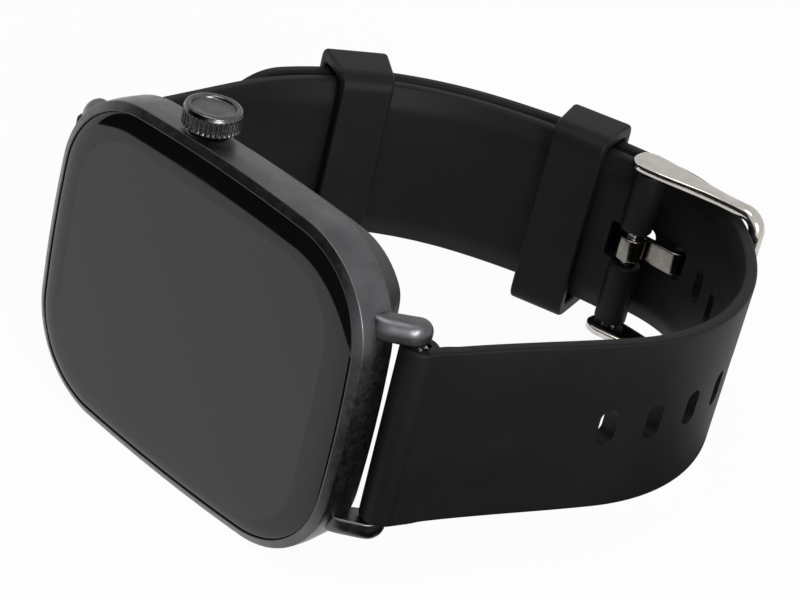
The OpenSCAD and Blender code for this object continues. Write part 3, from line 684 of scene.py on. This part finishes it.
def buckle_frame():
    """A section carried along a U: along one side, round a corner, across, and back. Its half
    height goes from WIDE_H to BAR_H along a side as (1 + cos) / 2, its half thickness from
    0.64 to 1.02, and its power from 4.2, nearly square, to 2, round."""
    corner = 2.0
    leg = BUCKLE_L + WIDE_H - corner
    bend = corner * np.pi / 2
    across = RAIL_Z - corner
    total = leg + bend + across
    start = WIDE_H * (1 - np.cos(np.linspace(0, np.pi / 2, 14)))
    s = np.concatenate([start, np.linspace(2.6, total, 110)])
    phi = np.clip((s - leg) / corner, 0, np.pi / 2)
    u = np.where(s < leg, s - WIDE_H, BUCKLE_L - corner + corner * np.sin(phi))
    z = np.where(s < leg, RAIL_Z, RAIL_Z - corner + corner * np.cos(phi))
    z = np.where(s >= leg + bend, RAIL_Z - corner - (s - leg - bend), z)
    ease = (1 - np.cos(np.pi * np.clip((s - 1.2) / 12.6, 0, 1))) / 2
    high = WIDE_H + (BAR_H - WIDE_H) * ease
    high = high * np.sqrt(np.clip(1 - np.clip(1 - s / WIDE_H, 0, 1) ** 2, 1e-6, 1))
    mid = -0.5 + (BAR_V + 0.5) * ease
    fat = 0.64 + 0.38 * np.clip((s - leg + 3) / (bend + 3), 0, 1)
    fat = fat * np.clip(s / 0.5, 0.02, 1) ** 0.5
    power = 4.2 - 2.2 * np.clip((s - leg + 5) / 6, 0, 1)
    u, z, high, mid, fat, power, phi = (np.concatenate([q, f * q[-2::-1]]) for q, f in (
        (u, 1), (z, -1), (high, 1), (mid, 1), (fat, 1), (power, 1), (phi, 1)))
    lower = np.arange(len(u)) > (len(u) - 1) / 2
    nu, nz = np.sin(phi), np.cos(phi) * np.where(lower, -1, 1)
    a = np.linspace(0, 2 * np.pi, 48, endpoint=False)[None]
    bulge = lambda c: np.sign(c) * np.abs(c) ** (2 / power[:, None])
    side, rise = bulge(np.cos(a)) * fat[:, None], bulge(np.sin(a)) * high[:, None]
    grid = to_buckle(u[:, None] + nu[:, None] * side, mid[:, None] + rise,
                     z[:, None] + nz[:, None] * side)
    return np.concatenate([lid(grid[0], 3)[::-1], grid[1:-1], lid(grid[-1], 3)])


polish = Finish("buckle_steel")
haze = polish.noise(700, 3)
scratch = polish.noise(2200, 3, 0.6, (1, 1, 9))
polish_finish = polish.surface(
    polish.blend(haze.ramp(0.3, 0.7), (0.52, 0.49, 0.45), (0.60, 0.575, 0.535)),
    scratch.ramp(0.3, 0.75, 0.09, 0.2), 1.0, polish.bump(scratch, 0.000006, 0.4))
build("polished_buckle", [(buckle_frame(), False, True)], polish_finish, "buckle",
      ("buckle_frame",), 60)


def tang():
    """A flat strip 3 mm wide: an open curl round the spring bar, then straight along the strap,
    up through its hole and down to the outer bar."""
    hole_uv = np.array([[math.cos(TILT), math.sin(TILT)], [-math.sin(TILT), math.cos(TILT)]]) @ (
        hole_spots[TANG_HOLE - 1] - pin)
    curl = np.radians(np.linspace(15, -270, 48))[:-1]
    ring = 1.3 * np.stack([np.cos(curl), np.sin(curl)], 1)
    at_u, over = hole_uv[0], hole_uv[1] + 1.88
    knots = np.array([(0, 1.3), (2.6, 1.25), (at_u - 0.8, 1.16), (at_u - 0.35, 1.6),
                      (at_u + 0.1, over - 0.9), (at_u + 0.5, over - 0.1), (at_u + 1.2, over),
                      (at_u + 2.2, over - 0.35), (BUCKLE_L + 0.55, 1.3)])
    run = np.concatenate([[0], np.cumsum(np.linalg.norm(np.diff(knots, axis=0), axis=1))])
    s = np.linspace(0, run[-1], 90)
    plate = np.stack([np.interp(s, run, knots[:, k]) for k in (0, 1)], 1)
    soft = np.ones(7) / 7
    inner = np.stack([np.convolve(plate[:, k], soft, "valid") for k in (0, 1)], 1)
    line = np.vstack([ring, plate[:1], inner, plate[-1:]])
    t = np.gradient(line, axis=0)
    t /= np.linalg.norm(t, axis=1, keepdims=True)
    n = np.stack([-t[:, 1], t[:, 0]], 1)
    section = rounded([(-0.45, -1.5), (0.45, -1.5), (0.45, 1.5), (-0.45, 1.5)], 0.22, 6)
    u = line[:, :1] + n[:, :1] * section[:, 0]
    v = line[:, 1:] + n[:, 1:] * section[:, 0]
    grid = to_buckle(u, v, np.broadcast_to(section[:, 1], u.shape))
    return np.concatenate([lid(grid[0], 3)[::-1], grid[1:-1], lid(grid[-1], 3)])


dim = Finish("tang_steel")
grain = dim.noise(2600, 3, 0.6, (1, 1, 6))
tang_finish = dim.surface(
    dim.blend(dim.noise(900, 3).ramp(0.3, 0.7), (0.17, 0.158, 0.142), (0.22, 0.207, 0.188)),
    grain.ramp(0.3, 0.75, 0.14, 0.26), 1.0, dim.bump(grain, 0.000006, 0.4))
build("curled_tang", [(tang(), False, True)], tang_finish, "tang", ("buckle_tang",),
      50)

# ---------------------------------------------------------------- inside the case and the bars
# The pieces that the case and the spring bars hold: their solids are already right, so each
# only takes its finish.


def speckled(name, low, high, rough, metallic=0.0, scale=1500, bump=0.00003, **fixed):
    """A finish whose colour, roughness and fine bump vary between two values."""
    made = Finish(name)
    grain = made.noise(scale, 3, 0.6)
    return made.surface(made.blend(grain.ramp(0.3, 0.7), low, high),
                        made.noise(scale * 2.7, 2).ramp(0.3, 0.7, rough - 0.06, rough + 0.06),
                        metallic, made.bump(grain, bump, 0.4), **fixed)


board = Finish("board")
bx, bz = board.place("X"), board.place("Z")
tracks = board.node("ShaderNodeTexBrick", None, board.place(), Scale=700.0, Mortar_Size=0.03,
                    out="Fac")
chip = (bx + 4.25).abs().max((bz + 2).abs() - 0.25).ramp(3.7, 3.76)
board_finish = board.surface(
    board.blend(chip, (0.012, 0.012, 0.013),
                board.blend(tracks * 0.6, (0.012, 0.075, 0.035), (0.03, 0.15, 0.07))),
    board.noise(900, 2).ramp(0.3, 0.7, 0.3, 0.45), 0.0, board.bump(tracks, 0.00003, 0.5))
bright = speckled("bar_steel", (0.48, 0.48, 0.49), (0.60, 0.60, 0.61), 0.24, 1.0, 2500)
dull = speckled("bracket", (0.36, 0.36, 0.38), (0.46, 0.46, 0.48), 0.42, 1.0, 1200)
seal = speckled("seal", (0.010, 0.010, 0.010), (0.018, 0.018, 0.018), 0.6, 0.0, 2500)
finishes = {
    "front_gasket": seal, "back_gasket": seal, "crown_seal": seal,
    "display_panel": speckled("display", (0.02, 0.02, 0.021), (0.032, 0.032, 0.033), 0.3),
    "display_bracket": dull, "main_board": board_finish, "sensor_board": board_finish,
    "battery": speckled("cell", (0.42, 0.42, 0.44), (0.54, 0.54, 0.56), 0.4, 0.9, 500, 0.0001),
    "vibration_motor": dull, "crown_encoder": shell_finish, "crown_stem": bright,
    "sensor_lights": speckled("lights", (0.28, 0.55, 0.33), (0.45, 0.72, 0.5), 0.2),
}
for name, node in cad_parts.items():
    if not node.hide_render:
        node.data.materials.clear()
        node.data.materials.append(finishes.get(name, bright))

# ---------------------------------------------------------------- floor, lights and camera
# A pale floor under the watch, a white surround, two soft lamps, and two dark cards seen only
# in reflections, which give the glass its dark edge and the case its darker end.


def panel(name, corners, finish):
    """A flat four-cornered sheet that isn't part of the object, its corners in millimetres."""
    mesh = bpy.data.meshes.new(name)
    mesh.from_pydata([Vector(c) * mm for c in corners], [], [(0, 1, 2, 3)])
    mesh.materials.append(finish)
    made = bpy.data.objects.new(name, mesh)
    scene.collection.objects.link(made)
    return made


white = Finish("floor")
rays = white.tree.nodes.new("ShaderNodeLightPath")
camera_ray, gloss_ray, through_ray = (Value(white, rays.outputs[kind]) for kind in (
    "Is Camera Ray", "Is Glossy Ray", "Is Transmission Ray"))
seen = camera_ray.max(gloss_ray).max(through_ray)
glow = white.node("ShaderNodeEmission", None, (1, 1, 1, 1), 1.0)
matte = white.node("ShaderNodeBsdfDiffuse", None, (0.9, 0.9, 0.9, 1))
mixed = white.node("ShaderNodeMixShader", None, seen * 0.95, matte, glow)
white.tree.links.new(mixed.socket, white.output.inputs["Surface"])
low = -19.95
panel("floor", [(-3000, -3000, low), (3000, -3000, low), (3000, 3000, low), (-3000, 3000, low)],
      white.material)

world = bpy.data.worlds.new("surround")
scene.world = world
world.use_nodes = True
tree = world.node_tree
tree.nodes.clear()
rays = tree.nodes.new("ShaderNodeLightPath")
direct, any_view = tree.nodes.new("ShaderNodeMath"), tree.nodes.new("ShaderNodeMath")
direct.operation = any_view.operation = "MAXIMUM"
tree.links.new(rays.outputs["Is Camera Ray"], direct.inputs[0])
tree.links.new(rays.outputs["Is Glossy Ray"], direct.inputs[1])
tree.links.new(direct.outputs[0], any_view.inputs[0])
tree.links.new(rays.outputs["Is Transmission Ray"], any_view.inputs[1])
lit, shown = tree.nodes.new("ShaderNodeBackground"), tree.nodes.new("ShaderNodeBackground")
lit.inputs["Strength"].default_value = 0.55
shown.inputs["Strength"].default_value = 1.0
mix = tree.nodes.new("ShaderNodeMixShader")
end = tree.nodes.new("ShaderNodeOutputWorld")
for source, target in ((any_view.outputs[0], mix.inputs[0]), (lit.outputs[0], mix.inputs[1]),
                       (shown.outputs[0], mix.inputs[2]), (mix.outputs[0], end.inputs["Surface"])):
    tree.links.new(source, target)


def lamp(name, spot, aim, size, power):
    """A round soft lamp at a spot, aimed at a point, in millimetres, with its power in watts."""
    data = bpy.data.lights.new(name, "AREA")
    data.shape, data.size, data.energy = "DISK", size * mm, power
    made = bpy.data.objects.new(name, data)
    made.location = Vector(spot) * mm
    made.rotation_mode = "QUATERNION"
    made.rotation_quaternion = (Vector(aim) - Vector(spot)).to_track_quat("-Z", "Y")
    scene.collection.objects.link(made)


middle = (3, 22, 0)
lamp("key_lamp", (60, -160, 420), middle, 260, 0.55)
lamp("side_lamp", (420, -140, 120), middle, 220, 1.5)

card = Finish("dark_card")
speck = card.noise(6, 2)
card_finish = card.surface(card.blend(speck, (0.001, 0.001, 0.001), (0.004, 0.004, 0.004)), 1.0,
                           Specular_IOR_Level=0.0)
cards = [panel("front_card", [(-95, -62, -12), (34, -62, -12), (34, -62, 75), (-95, -62, 75)],
               card_finish),
         panel("low_card", [(27, -70, -19.7), (95, -70, -19.7), (95, 60, -19.7), (27, 60, -19.7)],
               card_finish)]
for made in cards:
    made.visible_camera = made.visible_diffuse = made.visible_shadow = False

camera_data = bpy.data.cameras.new("camera")
camera_data.sensor_width = 36
camera_data.lens = 111.645
camera_data.clip_start, camera_data.clip_end = 0.01, 20
camera = bpy.data.objects.new("camera", camera_data)
CAMERA_AT, LOOK_AT, ROLL = Vector((158.597, -178.314, 134.081)), Vector((6.59, 15.666, 0)), 13.799
level = (LOOK_AT - CAMERA_AT).to_track_quat("-Z", "Y").to_matrix()
turned = level @ Matrix.Rotation(math.radians(ROLL), 3, "Z")
camera.matrix_world = Matrix.Translation(CAMERA_AT * mm) @ turned.to_4x4()
scene.collection.objects.link(camera)
scene.camera = camera
